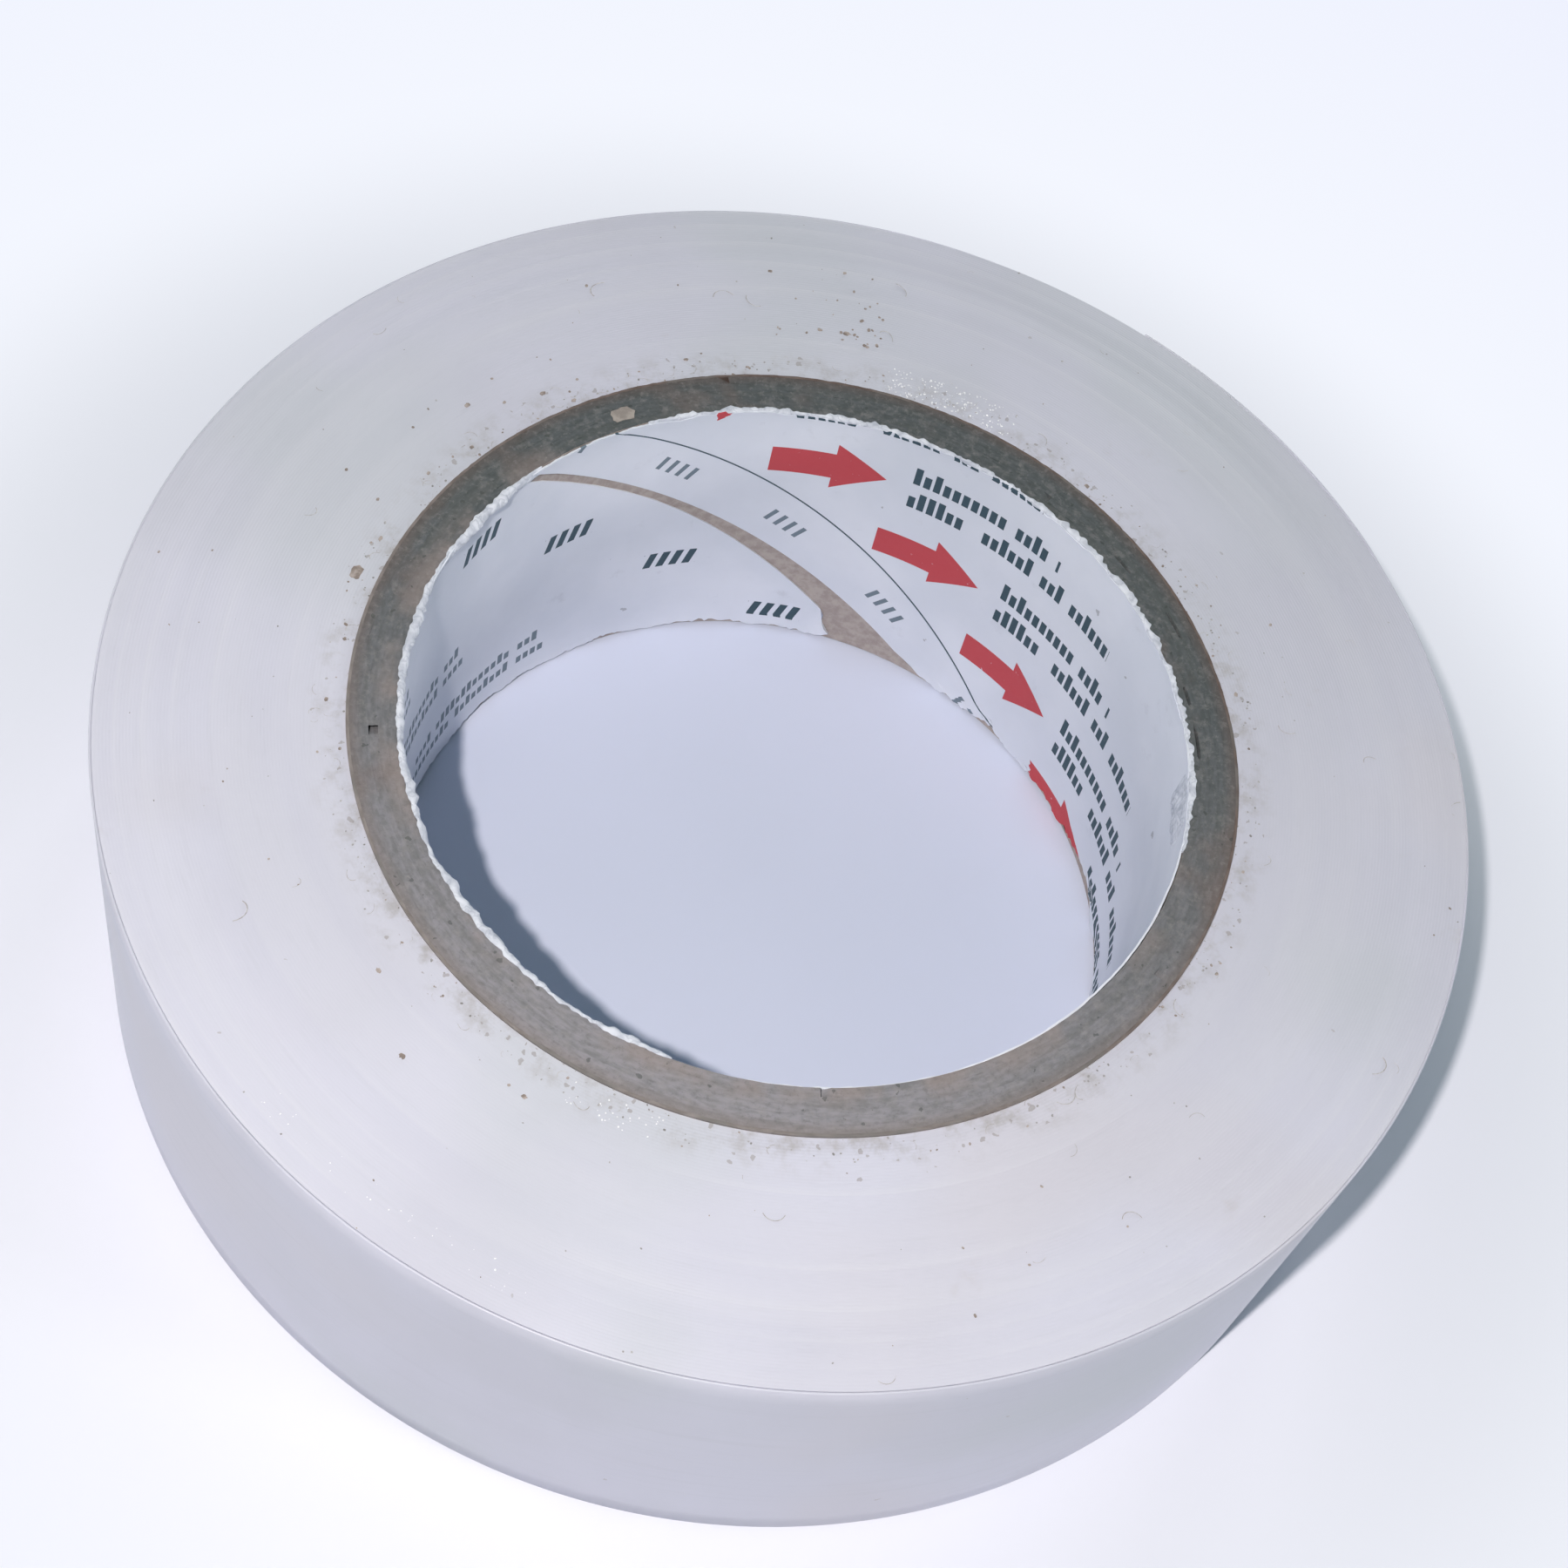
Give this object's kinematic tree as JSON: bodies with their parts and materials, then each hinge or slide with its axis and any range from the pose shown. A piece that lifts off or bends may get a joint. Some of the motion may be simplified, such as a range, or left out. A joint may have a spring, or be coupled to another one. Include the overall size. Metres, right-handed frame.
{
  "type": "electrical tape roll",
  "caption": "Roll of white vinyl electrical tape on a spiral-wound paper core, with a free end that peels up and curls away from the outer turn.",
  "frame": {"origin": "on the roll's axis, at the plane of its bottom face", "axes": "+Z along the roll's axis, out of its top face; X and Y across the roll, with the seam of the liner on the +Y side"},
  "size_m": [0.066, 0.066, 0.019],
  "materials": {
    "white_paper": "smooth white printed paper with torn rims",
    "grey_board": "grey chipboard with cut fibrous ends",
    "brown_paper": "brown kraft paper",
    "white_vinyl": "soft milky white vinyl, satin"
  },
  "bodies": {
    "roll": {"paper_liner": "white_paper", "core_ply_inner": "grey_board", "core_ply_second": "grey_board", "core_ply_middle": "grey_board", "core_ply_fourth": "grey_board", "core_ply_outer": "grey_board", "core_cover_paper": "brown_paper", "tape_turns_1": "white_vinyl", "tape_turns_2": "white_vinyl", "tape_turns_3": "white_vinyl", "tape_turns_4": "white_vinyl", "tape_turns_5": "white_vinyl", "tape_turns_6": "white_vinyl", "tape_last_turn": "white_vinyl"},
    "strip_end_root": {"tape_end_root": "white_vinyl"},
    "strip_end_middle": {"tape_end_middle": "white_vinyl"},
    "strip_end_tip": {"tape_end_tip": "white_vinyl"}
  },
  "joints": [
    {"name": "tape_end_peel", "type": "hinge", "parent": "roll", "child": "strip_end_root", "pos_m": [0.02538, 0.0213, 0.0095], "axis": [0, 0, -1], "range_deg": [0, 70]},
    {"name": "tape_end_middle_curl", "type": "hinge", "parent": "strip_end_root", "child": "strip_end_middle", "pos_m": [0.02147, 0.02523, 0.0095], "axis": [0, 0, -1], "range_deg": [0, 35]},
    {"name": "tape_end_tip_curl", "type": "hinge", "parent": "strip_end_middle", "child": "strip_end_tip", "pos_m": [0.01697, 0.02846, 0.0095], "axis": [0, 0, -1], "range_deg": [0, 35]}
  ],
  "couplings": [
    {"joint": "tape_end_middle_curl", "follows": "tape_end_peel", "ratio": 0.5},
    {"joint": "tape_end_tip_curl", "follows": "tape_end_peel", "ratio": 0.5}
  ]
}
